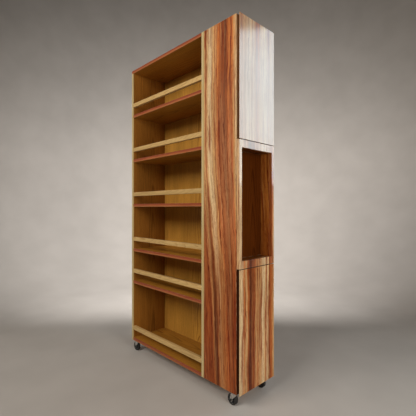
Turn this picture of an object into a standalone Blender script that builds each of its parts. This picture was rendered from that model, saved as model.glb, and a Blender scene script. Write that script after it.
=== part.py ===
"""Rolling pantry cart: a tall, shallow shelf case with a cupboard column, on four swivel casters.

+X runs from the plain end to the door end, +Y from the open shelf face to the back, and +Z up.
The world origin is the bottom centre of the whole cart, on the floor. The dimensions below are in
the case's own frame, whose zero is the left front bottom corner of the case. The empty named
case_origin carries that frame.
"""

import math

import bmesh
import bpy
from mathutils import Matrix, Vector

# Boards of the case
BOARD = 0.020  # thickness of every case board
GAP = 0.0003  # clearance between pieces that touch
EASE = 0.0008  # chamfer along the edges of a board
CASE_HEIGHT = 1.940
DEPTH = 0.300
BAY_WIDTH = 0.720  # clear width of the shelf bays
COLUMN_LENGTH = 0.240  # clear length of the column, from the divider to its front edge
SHELF_TOPS = (0.430, 0.660, 0.980, 1.300, 1.620)
BACK_THICKNESS = 0.012
GROOVE_DEPTH = 0.008  # how far the back panel sits in its grooves

# Guard rails
RAIL_HEIGHT = 0.027
RAIL_LIFT = 0.056  # clear space between a shelf and the rail above it

# Door end
DOOR_THICKNESS = 0.018
FINGER_BEVEL = 0.017  # the bevelled finger pull, across the door's thickness
REVEAL = 0.003  # gap between a door and the niche frame
NICHE_BOTTOM = 0.640
NICHE_TOP = 1.300
NICHE_RAIL = 0.040  # height of the frame's two rails
NICHE_DEPTH = 0.076  # from the face of the niche frame to the niche's back board

# Dowels, each glued into the end of one board and standing out into a hole in the next
DOWEL_RADIUS = 0.004
DOWEL_REACH = 0.0135
DOWEL_ROOT = 0.006  # how far a dowel starts inside its own board
HOLE_ROOT = 0.003  # how far a dowel's hole is cut past the joint
DOWEL_SIDES = 6
DOWEL_YS = (0.060, 0.220)  # across the depth of a shelf
DOWEL_XS = (0.820, 0.940)  # along a board of the column
DOWEL_ZS = (0.800, 1.140)  # up the niche's back board

# Butt hinges
HINGE_LENGTH = 0.060
KNUCKLE_RADIUS = 0.004
KNUCKLE_BORE = 0.00162
HINGE_PIN_RADIUS = 0.0015
PIN_HEAD_RADIUS = 0.0026
PIN_HEAD_HEIGHT = 0.0014
LEAF_THICKNESS = 0.0018
LEAF_WIDTH = 0.017
LEAF_SPREAD = 0.0004  # from the pin's axis to each closed leaf
KNUCKLE_STANDOFF = 0.0045  # from the case's side to the pin's axis
HINGE_SCREW_PITCH = 0.036
HINGE_END = 0.090  # from a door's end to its hinge's centre
ROUND_SIDES = 12

# Holes for the hinges' countersunk screws
SCREW_HOLE_RADIUS = 0.0019
SCREW_HEAD_RADIUS = 0.0034
SCREW_DEPTH = 0.0130
SCREW_SIDES = 6

# Magnetic catches, let into the front edges of two boards
CATCH_RADIUS = 0.005
CATCH_LENGTH = 0.012
CATCH_Y = 0.045

# Casters. Heights are below the case's underside.
CASTER_HEIGHT = 0.078
WHEEL_RADIUS = 0.030
TYRE_WIDTH = 0.019
TRAIL = 0.022  # from the kingpin's axis to the axle
CASTER_XS = (0.046, 0.972)
CASTER_YS = (0.030, 0.270)
PLATE_SIZE = 0.050
PLATE_THICKNESS = 0.0025
RACE_RADIUS = 0.0155  # the pressed boss under the plate that the fork turns on
RACE_BOTTOM = 0.0095
KINGPIN_RADIUS = 0.004
CUP_RADIUS = 0.0190
CUP_WALL = 0.0022
FORK_TOP = 0.0100
FORK_FRONT = 0.0125  # reach of the fork's legs ahead of the kingpin
FORK_REAR = 0.0205  # and behind it
LEG_INNER = 0.0125  # from the wheel's middle plane
LEG_THICKNESS = 0.0022
AXLE_RADIUS = 0.003
AXLE_HEAD_RADIUS = 0.0058
AXLE_HEAD_HEIGHT = 0.0035
PLATE_SCREW_PITCH = 0.036
PLATE_HOLE_RADIUS = 0.0022
PLATE_PILOT_DEPTH = 0.0105
WHEEL_STEPS = 20
HUB_STEPS = 16

# Places worked out from the dimensions above
BAY_LEFT = BOARD
BAY_RIGHT = BAY_LEFT + BAY_WIDTH
COLUMN_LEFT = BAY_RIGHT + BOARD
COLUMN_FRONT = COLUMN_LEFT + COLUMN_LENGTH
FACE = COLUMN_FRONT + BOARD  # outer face of the doors and the niche frame
DOOR_BACK = FACE - DOOR_THICKNESS
NICHE_BACK = FACE - NICHE_DEPTH
INNER_BACK = DEPTH - BOARD
TOP_UNDERSIDE = CASE_HEIGHT - BOARD
HINGE_X = (COLUMN_FRONT + DOOR_BACK) / 2
HINGE_Y = DEPTH + KNUCKLE_STANDOFF
AXLE_Z = WHEEL_RADIUS - CASTER_HEIGHT
CART_LEFT = min(0.0, CASTER_XS[0] - TRAIL - WHEEL_RADIUS)
CART_BACK = HINGE_Y + KNUCKLE_RADIUS * math.cos(math.pi / ROUND_SIDES)
LEVELS = (BOARD, *SHELF_TOPS)  # the upper faces that carry things
DOORS = {"lower_door": (0.0, NICHE_BOTTOM - REVEAL), "upper_door": (NICHE_TOP + REVEAL, CASE_HEIGHT)}
COLUMN_BOARDS = {
    "column_bottom_board": 0.0,
    "niche_floor": NICHE_BOTTOM + NICHE_RAIL - BOARD,
    "niche_ceiling": NICHE_TOP - NICHE_RAIL,
    "column_top_board": TOP_UNDERSIDE,
}
CATCHES = {"lower_door": BOARD / 2, "upper_door": CASE_HEIGHT - BOARD / 2}
CASTERS = {
    "front_left": (CASTER_XS[0], CASTER_YS[0]),
    "front_right": (CASTER_XS[1], CASTER_YS[0]),
    "back_left": (CASTER_XS[0], CASTER_YS[1]),
    "back_right": (CASTER_XS[1], CASTER_YS[1]),
}

# Axes for cylinders, as turns that carry +Z onto them
ALONG_X = Matrix.Rotation(math.pi / 2, 4, "Y")
ALONG_Y = Matrix.Rotation(-math.pi / 2, 4, "X")
ALONG_Z = Matrix.Identity(4)


def clear_scene():
    for item in list(bpy.data.objects):
        bpy.data.objects.remove(item, do_unlink=True)


def new_collection(name):
    made = bpy.data.collections.new(name)
    bpy.context.scene.collection.children.link(made)
    return made


def new_material(name, colour, roughness, metallic=0.0):
    made = bpy.data.materials.new(name)
    made.use_nodes = True
    shader = made.node_tree.nodes["Principled BSDF"]
    shader.inputs["Base Color"].default_value = (*colour, 1.0)
    shader.inputs["Roughness"].default_value = roughness
    shader.inputs["Metallic"].default_value = metallic
    return made


def new_empty(name, location, parent=None):
    made = bpy.data.objects.new(name, None)
    made.location = location
    made.parent = parent
    PARTS.objects.link(made)
    return made


def place(name, mesh, look, location=(0, 0, 0), parent=None):
    """One named sub-part made from a mesh, in the case's frame unless it has another parent."""
    made = bpy.data.objects.new(name, mesh)
    made.location = location
    made.parent = parent or CASE
    PARTS.objects.link(made)
    finish = look.copy()
    finish.name = name
    mesh.materials.clear()
    mesh.materials.append(finish)
    return made


def add_box(bm, low, high, turn=Matrix.Identity(4)):
    size = Vector(high) - Vector(low)
    middle = (Vector(high) + Vector(low)) / 2
    stretch = Matrix.Diagonal((*size, 1))
    bmesh.ops.create_cube(bm, size=1, matrix=Matrix.Translation(middle) @ turn @ stretch)


def add_cylinder(bm, centre, axis, radius, length, sides=ROUND_SIDES, radius_end=None):
    """A cylinder or cone about centre, with its corners turned so that flats face the main axes."""
    turn = Matrix.Translation(centre) @ axis @ Matrix.Rotation(math.pi / sides, 4, "Z")
    end = radius if radius_end is None else radius_end
    bmesh.ops.create_cone(
        bm, cap_ends=True, segments=sides, radius1=radius, radius2=end, depth=length, matrix=turn
    )


def to_mesh(bm, name):
    mesh = bpy.data.meshes.new(name)
    bm.to_mesh(mesh)
    bm.free()
    return mesh


def board(name, low, high, look, origin=None):
    """A rectangular board with eased edges. Its origin is its middle unless one is given."""
    origin = Vector(origin) if origin else (Vector(low) + Vector(high)) / 2
    bm = bmesh.new()
    add_box(bm, Vector(low) - origin, Vector(high) - origin)
    made = place(name, to_mesh(bm, name), look, origin)
    bevel = made.modifiers.new("eased edges", "BEVEL")
    bevel.width = EASE
    bevel.segments = 1
    return made


def boolean(target, tool, operation="DIFFERENCE"):
    modifier = target.modifiers.new(tool.name, "BOOLEAN")
    modifier.operation = operation
    modifier.object = tool
    modifier.solver = "EXACT"


def cutter(name, bm):
    """A hidden shape for a Boolean, in the case's frame."""
    made = bpy.data.objects.new(name, to_mesh(bm, name))
    made.parent = CASE
    made.hide_render = True
    made.display_type = "WIRE"
    CUTTERS.objects.link(made)
    return made


def cut_all(targets):
    """targets maps a sub-part's name to the function that fills a bmesh with what is cut out of it."""
    for name, fill in targets.items():
        bm = bmesh.new()
        fill(bm)
        boolean(PARTS.objects[name], cutter(f"cut_{name}", bm))


def evaluated_mesh(item):
    """The mesh of an object with its modifiers applied. The object is removed."""
    bpy.context.view_layer.update()
    graph = bpy.context.evaluated_depsgraph_get()
    mesh = bpy.data.meshes.new_from_object(item.evaluated_get(graph))
    bpy.data.objects.remove(item, do_unlink=True)
    return mesh


def turned_mesh(name, profile, steps, closed, axis=ALONG_Z):
    """A mesh turned about an axis. profile is (radius, height) points that run down the outer side."""
    bm = bmesh.new()
    corners = [bm.verts.new((radius, 0, height)) for radius, height in profile]
    pairs = list(zip(corners, corners[1:]))
    if closed:
        pairs.append((corners[-1], corners[0]))
    for pair in pairs:
        bm.edges.new(pair)
    blank = bpy.data.objects.new(name, to_mesh(bm, name))
    PARTS.objects.link(blank)
    screw = blank.modifiers.new("turned", "SCREW")
    screw.steps = steps
    screw.render_steps = steps
    screw.use_merge_vertices = True
    screw.merge_threshold = 0.00005
    mesh = evaluated_mesh(blank)
    mesh.transform(axis @ Matrix.Rotation(math.pi / steps, 4, "Z"))
    mesh.shade_smooth()
    mesh.set_sharp_from_angle(angle=math.radians(35))
    return mesh


# Dowels --------------------------------------------------------------------------------------


def dowel_joints():
    """Every dowel: where it crosses the joint, the way it stands out, its board and the holed board."""
    joints = []
    for name, top in zip(["bottom_board", *SHELVES], LEVELS):
        height = top - BOARD / 2
        for y in DOWEL_YS:
            joints.append(((BAY_LEFT, y, height), (-1, 0, 0), name, "left_side_panel"))
            joints.append(((BAY_RIGHT, y, height), (1, 0, 0), name, "divider_panel"))
    for name, top in zip(RAILS, LEVELS):
        height = top + RAIL_LIFT + RAIL_HEIGHT / 2
        joints.append(((BAY_LEFT, BOARD / 2, height), (-1, 0, 0), name, "left_side_panel"))
        joints.append(((BAY_RIGHT, BOARD / 2, height), (1, 0, 0), name, "divider_panel"))
    for y in DOWEL_YS:
        joints.append(((BOARD / 2, y, TOP_UNDERSIDE), (0, 0, 1), "left_side_panel", "top_board"))
        joints.append(((BAY_RIGHT, y, TOP_UNDERSIDE + BOARD / 2), (1, 0, 0), "top_board", "divider_panel"))
    for name, bottom in COLUMN_BOARDS.items():
        for x in DOWEL_XS:
            height = bottom + BOARD / 2
            joints.append(((x, BOARD, height), (0, -1, 0), name, "column_front_panel"))
            joints.append(((x, INNER_BACK, height), (0, 1, 0), name, "column_back_panel"))
    for z in DOWEL_ZS:
        x = NICHE_BACK - BOARD / 2
        joints.append(((x, BOARD, z), (0, -1, 0), "niche_back", "column_front_panel"))
        joints.append(((x, INNER_BACK, z), (0, 1, 0), "niche_back", "column_back_panel"))
    return joints


def add_dowel(bm, point, direction, radius, rooted, reach):
    """A dowel, or the hole for one, that runs from inside one board across the joint into the next."""
    axis = {0: ALONG_X, 1: ALONG_Y, 2: ALONG_Z}[[abs(part) for part in direction].index(1)]
    middle = Vector(point) + Vector(direction) * (reach - rooted) / 2
    add_cylinder(bm, middle, axis, radius, reach + rooted, DOWEL_SIDES)


def join_dowels():
    """Adds each board's dowels to it, once the board's edges are eased."""
    for name in sorted({board_name for _, _, board_name, _ in dowel_joints()}):
        bm = bmesh.new()
        for point, direction, board_name, _ in dowel_joints():
            if board_name == name:
                add_dowel(bm, point, direction, DOWEL_RADIUS, DOWEL_ROOT, DOWEL_REACH)
        boolean(PARTS.objects[name], cutter(f"dowels_{name}", bm), "UNION")


def add_dowel_holes(bm, holed_board):
    for point, direction, _, holed in dowel_joints():
        if holed == holed_board:
            add_dowel(bm, point, direction, DOWEL_RADIUS + GAP, HOLE_ROOT, DOWEL_REACH + GAP)


# Boards --------------------------------------------------------------------------------------


def make_shelf_case():
    board("left_side_panel", (0, 0, 0), (BAY_LEFT, DEPTH, TOP_UNDERSIDE - GAP), SHELF_WOOD)
    board("divider_panel", (BAY_RIGHT, 0, 0), (COLUMN_LEFT, DEPTH, CASE_HEIGHT), SHELF_WOOD)
    left, right = BAY_LEFT + GAP, BAY_RIGHT - GAP
    board("top_board", (0, 0, TOP_UNDERSIDE), (right, DEPTH, CASE_HEIGHT), SHELF_WOOD)
    board("bottom_board", (left, 0, 0), (right, DEPTH, BOARD), SHELF_WOOD)
    for name, top in zip(SHELVES, SHELF_TOPS):
        board(name, (left, 0, top - BOARD), (right, INNER_BACK - GAP, top), SHELF_WOOD)
    for name, top in zip(RAILS, LEVELS):
        low = top + RAIL_LIFT
        board(name, (left, 0, low), (right, BOARD, low + RAIL_HEIGHT), RAIL_WOOD)
    reach = GROOVE_DEPTH - GAP
    board(
        "back_panel",
        (BAY_LEFT - reach, INNER_BACK, BOARD - reach),
        (BAY_RIGHT + reach, INNER_BACK + BACK_THICKNESS, TOP_UNDERSIDE + reach),
        SHELF_WOOD,
    )


def make_column():
    left = COLUMN_LEFT + GAP
    board("column_front_panel", (left, 0, 0), (COLUMN_FRONT, BOARD, CASE_HEIGHT), STRIPED_WOOD)
    board("column_back_panel", (left, INNER_BACK, 0), (COLUMN_FRONT, DEPTH, CASE_HEIGHT), STRIPED_WOOD)
    near, far = BOARD + GAP, INNER_BACK - GAP
    for name, bottom in COLUMN_BOARDS.items():
        board(name, (left, near, bottom), (COLUMN_FRONT, far, bottom + BOARD), SHELF_WOOD)
    low = COLUMN_BOARDS["niche_floor"] + BOARD + GAP
    high = COLUMN_BOARDS["niche_ceiling"] - GAP
    board("niche_back", (NICHE_BACK - BOARD, near, low), (NICHE_BACK, far, high), STRIPED_WOOD)


def make_niche_frame():
    low = (COLUMN_FRONT + GAP, 0, NICHE_BOTTOM)
    frame = board("niche_frame", low, (FACE, DEPTH, NICHE_TOP), STRIPED_WOOD)
    bm = bmesh.new()
    window_low = (COLUMN_FRONT - BOARD, BOARD, NICHE_BOTTOM + NICHE_RAIL)
    add_box(bm, window_low, (FACE + BOARD, INNER_BACK, NICHE_TOP - NICHE_RAIL))
    boolean(frame, cutter("niche_window", bm))


def make_door(name, bottom, top):
    """A door whose origin is on its hinge axis, with a bevelled finger pull down its free edge."""
    origin = (HINGE_X, HINGE_Y, bottom)
    door = board(name, (DOOR_BACK, 0, bottom), (FACE, DEPTH, top), STRIPED_WOOD, origin)
    bm = bmesh.new()
    side = FINGER_BEVEL * math.sqrt(2)
    reach = 0.010  # past the door's two ends
    middle = Vector((DOOR_BACK, 0, (bottom + top) / 2))
    half = Vector((side / 2, side / 2, (top - bottom) / 2 + reach))
    add_box(bm, middle - half, middle + half, Matrix.Rotation(math.pi / 4, 4, "Z"))
    boolean(door, cutter(f"{name}_finger_pull", bm))


# Hinges --------------------------------------------------------------------------------------


def hinge_heights(door):
    bottom, top = DOORS[door]
    return {"bottom": bottom + HINGE_END, "top": top - HINGE_END}


def leaf_mesh(side, knuckles):
    """A hinge leaf about the pin's axis: side -1 is screwed to the case and 1 to the door.

    knuckles are the heights of the middles of its barrel segments.
    """
    near, far = LEAF_SPREAD, LEAF_SPREAD + LEAF_THICKNESS
    low_x, high_x = sorted((side * near, side * far))
    plate_end = -KNUCKLE_RADIUS - 0.0004  # the other leaf's knuckles turn past this end
    segment = HINGE_LENGTH / 3 - GAP
    bm = bmesh.new()
    half = HINGE_LENGTH / 2
    add_box(bm, (low_x, -KNUCKLE_STANDOFF - LEAF_WIDTH, -half), (high_x, plate_end, half))
    leaf = place("leaf", to_mesh(bm, "leaf"), STEEL)
    barrels, tabs = bmesh.new(), bmesh.new()
    for height in knuckles:
        add_cylinder(barrels, (0, 0, height), ALONG_Z, KNUCKLE_RADIUS, segment)
        tab_low = (low_x, plate_end - 0.002, height - segment / 2)
        add_box(tabs, tab_low, (high_x, -HINGE_PIN_RADIUS, height + segment / 2))
    boolean(leaf, cutter("leaf_tabs", tabs), "UNION")
    boolean(leaf, cutter("leaf_barrels", barrels), "UNION")
    holes = bmesh.new()
    add_cylinder(holes, (0, 0, 0), ALONG_Z, KNUCKLE_BORE, HINGE_LENGTH + 0.01)
    for height in (-HINGE_SCREW_PITCH / 2, HINGE_SCREW_PITCH / 2):
        add_countersink(holes, height, side)
    boolean(leaf, cutter("leaf_holes", holes))
    return evaluated_mesh(leaf)


def add_countersink(bm, height, side):
    """A hole through a leaf that widens towards the other leaf, where the screw's head sits."""
    past = 0.0008  # how far the cutter runs past both faces
    start, end = LEAF_SPREAD - past, LEAF_SPREAD + LEAF_THICKNESS + past
    ends = (SCREW_HEAD_RADIUS, SCREW_HOLE_RADIUS)
    ends = ends if side > 0 else ends[::-1]
    middle = (side * (start + end) / 2, -KNUCKLE_STANDOFF - LEAF_WIDTH / 2, height)
    add_cylinder(bm, middle, ALONG_X, ends[0], end - start, SCREW_SIDES, ends[1])


def pin_mesh():
    half = HINGE_LENGTH / 2 + GAP
    profile = [
        (0, half + PIN_HEAD_HEIGHT),
        (PIN_HEAD_RADIUS, half + PIN_HEAD_HEIGHT),
        (PIN_HEAD_RADIUS, half),
        (HINGE_PIN_RADIUS, half),
        (HINGE_PIN_RADIUS, -half),
        (PIN_HEAD_RADIUS, -half),
        (PIN_HEAD_RADIUS, -half - PIN_HEAD_HEIGHT),
        (0, -half - PIN_HEAD_HEIGHT),
    ]
    return turned_mesh("pin", profile, ROUND_SIDES, closed=False)


def make_hinges():
    third = HINGE_LENGTH / 3
    case_leaf, door_leaf, pin = leaf_mesh(-1, (-third, third)), leaf_mesh(1, (0,)), pin_mesh()
    for door in DOORS:
        for end, height in hinge_heights(door).items():
            axis = (HINGE_X, HINGE_Y, height)
            place(f"{door}_{end}_hinge_case_leaf", case_leaf.copy(), STEEL, axis)
            place(f"{door}_{end}_hinge_door_leaf", door_leaf.copy(), STEEL, axis)
            place(f"{door}_{end}_hinge_pin", pin.copy(), STEEL, axis)


def add_hinge_mortises(bm, door, side):
    """The recesses for a door's hinge leaves: side -1 in the case, 1 in the door."""
    depth = LEAF_SPREAD + LEAF_THICKNESS + GAP
    low_x, high_x = sorted((HINGE_X, HINGE_X + side * depth))
    half = HINGE_LENGTH / 2 + GAP
    for height in hinge_heights(door).values():
        low = (low_x, DEPTH - LEAF_WIDTH - GAP, height - half)
        add_box(bm, low, (high_x, DEPTH + 0.005, height + half))


def add_hinge_pilots(bm, door, side):
    """The screw holes in the wood behind a door's hinge leaves."""
    start = LEAF_SPREAD + LEAF_THICKNESS - 0.0005
    x = HINGE_X + side * (start + SCREW_DEPTH / 2)
    for height in hinge_heights(door).values():
        for offset in (-HINGE_SCREW_PITCH / 2, HINGE_SCREW_PITCH / 2):
            middle = (x, DEPTH - LEAF_WIDTH / 2, height + offset)
            add_cylinder(bm, middle, ALONG_X, SCREW_HOLE_RADIUS, SCREW_DEPTH, SCREW_SIDES)


# Catches -------------------------------------------------------------------------------------


def make_catches():
    for door, height in CATCHES.items():
        bm = bmesh.new()
        add_cylinder(bm, (-CATCH_LENGTH / 2, 0, 0), ALONG_X, CATCH_RADIUS, CATCH_LENGTH)
        name = f"{door}_magnetic_catch"
        place(name, to_mesh(bm, name), CATCH_PLASTIC, (COLUMN_FRONT + GAP, CATCH_Y, height))


def add_catch_hole(bm, height):
    length = 2 * CATCH_LENGTH
    add_cylinder(bm, (COLUMN_FRONT, CATCH_Y, height), ALONG_X, CATCH_RADIUS + GAP, length)


# Casters -------------------------------------------------------------------------------------


def plate_hole_offsets():
    half = PLATE_SCREW_PITCH / 2
    return [(i * half, j * half) for i in (-1, 1) for j in (-1, 1)]


def kingpin_mesh():
    """The rivet that the fork turns on, from inside the plate to its head under the fork."""
    under_fork = -FORK_TOP - CUP_WALL - GAP
    profile = [
        (0, -RACE_BOTTOM / 2),
        (KINGPIN_RADIUS, -RACE_BOTTOM / 2),
        (KINGPIN_RADIUS, under_fork),
        (0.0075, under_fork),
        (0.0065, under_fork - 0.0026),
        (0, under_fork - 0.0034),
    ]
    return turned_mesh("kingpin", profile, ROUND_SIDES, closed=False)


def plate_mesh():
    """A caster's top plate with its pressed race and the kingpin riveted into it."""
    half = PLATE_SIZE / 2
    bm = bmesh.new()
    add_box(bm, (-half, -half, -GAP - PLATE_THICKNESS), (half, half, -GAP))
    plate = place("plate", to_mesh(bm, "plate"), ZINC)
    race = bmesh.new()
    race_top = GAP + PLATE_THICKNESS / 2
    middle = (0, 0, -(race_top + RACE_BOTTOM) / 2)
    add_cylinder(race, middle, ALONG_Z, RACE_RADIUS, RACE_BOTTOM - race_top, HUB_STEPS)
    boolean(plate, cutter("plate_race", race), "UNION")
    rivet = bmesh.new()
    rivet.from_mesh(kingpin_mesh())
    boolean(plate, cutter("plate_kingpin", rivet), "UNION")
    holes = bmesh.new()
    for x, y in plate_hole_offsets():
        add_cylinder(holes, (x, y, 0), ALONG_Z, PLATE_HOLE_RADIUS, 0.03, SCREW_SIDES)
    boolean(plate, cutter("plate_holes", holes))
    return evaluated_mesh(plate)


def add_caster_pilots(bm, low, high):
    """Pilot holes for the plates' screws that go into the board between the corners low and high."""
    for caster_x, caster_y in CASTERS.values():
        for offset_x, offset_y in plate_hole_offsets():
            x, y = caster_x + offset_x, caster_y + offset_y
            if low[0] < x < high[0] and low[1] < y < high[1]:
                length = 2 * PLATE_PILOT_DEPTH
                add_cylinder(bm, (x, y, 0), ALONG_Z, PLATE_HOLE_RADIUS, length, SCREW_SIDES)


def leg_outline():
    """The side view of a fork leg: wide at the swivel head, round about the axle."""
    boss = 0.0085
    points = [(FORK_FRONT, -FORK_TOP), (-FORK_REAR, -FORK_TOP), (-TRAIL - boss, AXLE_Z + 0.012)]
    turns = 6
    for i in range(turns + 1):
        angle = math.pi + math.pi * i / turns
        points.append((-TRAIL + boss * math.cos(angle), AXLE_Z + boss * math.sin(angle)))
    points.append((-TRAIL + boss, AXLE_Z + 0.006))
    points.append((FORK_FRONT, -FORK_TOP - 0.006))
    return points


def leg_object(side):
    """A fork leg: its outline as a filled curve, stood upright at one side of the wheel."""
    curve = bpy.data.curves.new("leg", "CURVE")
    curve.dimensions = "2D"
    curve.fill_mode = "BOTH"
    curve.extrude = LEG_THICKNESS / 2
    points = leg_outline()
    spline = curve.splines.new("POLY")
    spline.points.add(len(points) - 1)
    for slot, (x, z) in zip(spline.points, points):
        slot.co = (x, z, 0, 1)
    spline.use_cyclic_u = True
    item = bpy.data.objects.new("leg", curve)
    item.rotation_euler = (math.pi / 2, 0, 0)
    item.location = (0, side * (LEG_INNER + LEG_THICKNESS / 2), 0)
    CUTTERS.objects.link(item)
    bpy.context.view_layer.update()
    world = item.matrix_world.copy()
    mesh = evaluated_mesh(item)
    mesh.transform(world)
    bm = bmesh.new()
    bm.from_mesh(mesh)
    bmesh.ops.remove_doubles(bm, verts=bm.verts, dist=0.00001)
    bmesh.ops.recalc_face_normals(bm, faces=bm.faces)
    return cutter(f"leg_{side}", bm)


def fork_mesh():
    """A caster's fork about its swivel axis: a turned cup, a flat top and two legs."""
    under = -FORK_TOP - CUP_WALL
    rim = -0.0040
    profile = [
        (CUP_RADIUS, rim),
        (CUP_RADIUS, under),
        (0.003, under),
        (0.003, -FORK_TOP),
        (CUP_RADIUS - CUP_WALL, -FORK_TOP),
        (CUP_RADIUS - CUP_WALL, rim),
    ]
    fork = place("fork", turned_mesh("fork", profile, HUB_STEPS, closed=True), ZINC)
    top = bmesh.new()
    half = LEG_INNER + LEG_THICKNESS
    add_box(top, (-FORK_REAR, -half, under), (FORK_FRONT, half, -FORK_TOP))
    boolean(fork, cutter("fork_top", top), "UNION")
    for side in (-1, 1):
        boolean(fork, leg_object(side), "UNION")
    holes = bmesh.new()
    add_cylinder(holes, (0, 0, -FORK_TOP), ALONG_Z, KINGPIN_RADIUS + GAP, 0.01)
    add_cylinder(holes, (-TRAIL, 0, AXLE_Z), ALONG_Y, AXLE_RADIUS + GAP, 0.05)
    boolean(fork, cutter("fork_holes", holes))
    return evaluated_mesh(fork)


def axle_mesh():
    """The axle bolt along Y, about its middle, with a hexagonal head at each end."""
    grip = LEG_INNER + LEG_THICKNESS + GAP
    bm = bmesh.new()
    add_cylinder(bm, (0, 0, 0), ALONG_Y, AXLE_RADIUS, 2 * grip + 0.002)
    axle = place("axle", to_mesh(bm, "axle"), DARK_STEEL)
    heads = bmesh.new()
    for side in (-1, 1):
        middle = (0, side * (grip + AXLE_HEAD_HEIGHT / 2), 0)
        add_cylinder(heads, middle, ALONG_Y, AXLE_HEAD_RADIUS, AXLE_HEAD_HEIGHT, 6)
    boolean(axle, cutter("axle_heads", heads), "UNION")
    return evaluated_mesh(axle)


def hub_mesh():
    bore = AXLE_RADIUS + 0.00025
    sleeve, web, rim = LEG_INNER - 0.0008, 0.006, WHEEL_RADIUS - 0.0095
    profile = [
        (0.0072, sleeve),
        (0.0090, web),
        (rim, web),
        (rim, -web),
        (0.0090, -web),
        (0.0072, -sleeve),
        (bore, -sleeve),
        (bore, sleeve),
    ]
    return turned_mesh("hub", profile, HUB_STEPS, True, ALONG_Y)


def tyre_mesh():
    """The tyre, with flats that touch the true tread circle."""
    half = TYRE_WIDTH / 2
    swell = 1 / math.cos(math.pi / WHEEL_STEPS)
    bore = WHEEL_RADIUS - 0.0095 + 2.5 * GAP
    tread = [(WHEEL_RADIUS, half * 0.5), (WHEEL_RADIUS, -half * 0.5)]
    shoulder = WHEEL_RADIUS - 0.0025
    profile = [(shoulder, half), *tread, (shoulder, -half), (bore, -half), (bore, half)]
    profile = [(radius * swell, height) for radius, height in profile]
    return turned_mesh("tyre", profile, WHEEL_STEPS, True, ALONG_Y)


def make_casters():
    plate, fork, axle, hub, tyre = plate_mesh(), fork_mesh(), axle_mesh(), hub_mesh(), tyre_mesh()
    for corner, (x, y) in CASTERS.items():
        swivel = new_empty(f"{corner}_swivel_axis", (x, y, 0), CASE)
        wheel = new_empty(f"{corner}_wheel_axis", (-TRAIL, 0, AXLE_Z), swivel)
        place(f"{corner}_caster_plate", plate.copy(), ZINC, parent=swivel)
        place(f"{corner}_caster_fork", fork.copy(), ZINC, parent=swivel)
        place(f"{corner}_caster_axle", axle.copy(), DARK_STEEL, parent=wheel)
        place(f"{corner}_caster_hub", hub.copy(), HUB_PLASTIC, parent=wheel)
        place(f"{corner}_caster_tyre", tyre.copy(), RUBBER, parent=wheel)


# Holes, grooves and recesses -----------------------------------------------------------------


def add_back_groove(bm, low, high):
    """The groove that holds the back panel, between two corners given in X and Z."""
    add_box(bm, (low[0], INNER_BACK - GAP, low[1]), (high[0], INNER_BACK + BACK_THICKNESS + GAP, high[1]))


def cut_left_side_panel(bm):
    add_dowel_holes(bm, "left_side_panel")
    add_back_groove(bm, (BAY_LEFT - GROOVE_DEPTH, BOARD - GROOVE_DEPTH), (BAY_LEFT + 0.01, CASE_HEIGHT))


def cut_divider_panel(bm):
    add_dowel_holes(bm, "divider_panel")
    low = (BAY_RIGHT - 0.01, BOARD - GROOVE_DEPTH)
    add_back_groove(bm, low, (BAY_RIGHT + GROOVE_DEPTH, TOP_UNDERSIDE + GROOVE_DEPTH))


def cut_top_board(bm):
    add_dowel_holes(bm, "top_board")
    low = (BAY_LEFT - GROOVE_DEPTH, TOP_UNDERSIDE - 0.01)
    add_back_groove(bm, low, (BAY_RIGHT + 0.01, TOP_UNDERSIDE + GROOVE_DEPTH))


def cut_bottom_board(bm):
    add_caster_pilots(bm, (BAY_LEFT, 0), (BAY_RIGHT, DEPTH))
    add_back_groove(bm, (0, BOARD - GROOVE_DEPTH), (COLUMN_LEFT, BOARD + 0.01))


def cut_column_front_panel(bm):
    add_dowel_holes(bm, "column_front_panel")
    add_caster_pilots(bm, (COLUMN_LEFT, 0), (COLUMN_FRONT, BOARD))


def cut_column_back_panel(bm):
    add_dowel_holes(bm, "column_back_panel")
    add_caster_pilots(bm, (COLUMN_LEFT, INNER_BACK), (COLUMN_FRONT, DEPTH))
    for door in DOORS:
        add_hinge_mortises(bm, door, -1)


def cut_column_bottom_board(bm):
    add_caster_pilots(bm, (COLUMN_LEFT, BOARD), (COLUMN_FRONT, INNER_BACK))
    add_catch_hole(bm, CATCHES["lower_door"])


def cut_boards():
    cut_all(
        {
            "left_side_panel": cut_left_side_panel,
            "divider_panel": cut_divider_panel,
            "top_board": cut_top_board,
            "bottom_board": cut_bottom_board,
            "column_front_panel": cut_column_front_panel,
            "column_back_panel": cut_column_back_panel,
            "column_bottom_board": cut_column_bottom_board,
            "column_top_board": lambda bm: add_catch_hole(bm, CATCHES["upper_door"]),
        }
    )
    for door in DOORS:
        cut_all({door: lambda bm, door=door: add_hinge_mortises(bm, door, 1)})


def drill_hinge_pilots():
    for name, doors, side in (
        ("column_back_panel", DOORS, -1),
        ("lower_door", ["lower_door"], 1),
        ("upper_door", ["upper_door"], 1),
    ):
        bm = bmesh.new()
        for door in doors:
            add_hinge_pilots(bm, door, side)
        boolean(PARTS.objects[name], cutter(f"pilots_{name}", bm))


SHELVES = [f"shelf_{i + 1}" for i in range(len(SHELF_TOPS))]
RAILS = [f"guard_rail_{i + 1}" for i in range(len(LEVELS))]

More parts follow.
